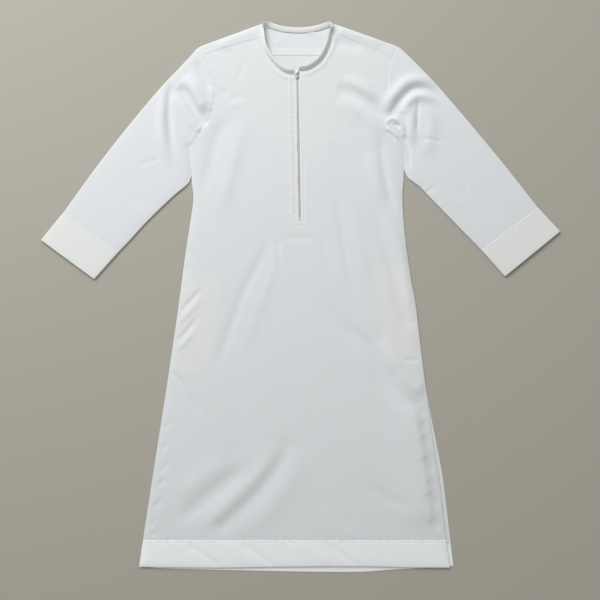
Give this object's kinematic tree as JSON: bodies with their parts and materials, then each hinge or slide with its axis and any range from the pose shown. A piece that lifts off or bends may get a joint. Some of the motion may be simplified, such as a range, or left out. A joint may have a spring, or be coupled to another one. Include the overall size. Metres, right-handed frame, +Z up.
{
  "type": "thobe robe",
  "caption": "Long white robe laid flat on its back, with a round neck, narrow standing neck band, short centre zip, long sleeves with deep cuffs, and a deep hem.",
  "frame": {"origin": "on the surface that the robe lies on, under the middle of the whole robe", "axes": "+Y runs from the hem to the neck, +X to the right as seen from above, +Z up from the surface"},
  "size_m": [1.2561, 1.3298, 0.0167],
  "materials": {
    "cloth": "smooth plain-woven polyester, white",
    "pocket_cloth": "plain-woven cotton, off-white",
    "zip_tape": "herringbone woven polyester tape, white",
    "zip_teeth": "silvered teeth",
    "zip_metal": "polished nickel plate on zinc"
  },
  "bodies": {
    "robe": {"front": "cloth", "back": "cloth", "yoke": "cloth", "sleeve_left": "cloth", "sleeve_right": "cloth", "cuff_left": "cloth", "cuff_right": "cloth", "hem_front": "cloth", "hem_back": "cloth", "neck_band": "cloth", "pocket_left": "pocket_cloth", "pocket_right": "pocket_cloth", "zip_tape_left": "zip_tape", "zip_tape_right": "zip_tape", "zip_chain": "zip_teeth", "zip_slider": "zip_metal"},
    "pull_tab": {"zip_pull": "zip_metal"}
  },
  "joints": [
    {"name": "pull_tab_hinge", "type": "hinge", "parent": "robe", "child": "pull_tab", "pos_m": [-0.00741, 0.5409, 0.0068], "axis": [-0.9999, -0.0165, 0], "range_deg": [0, 150]}
  ]
}
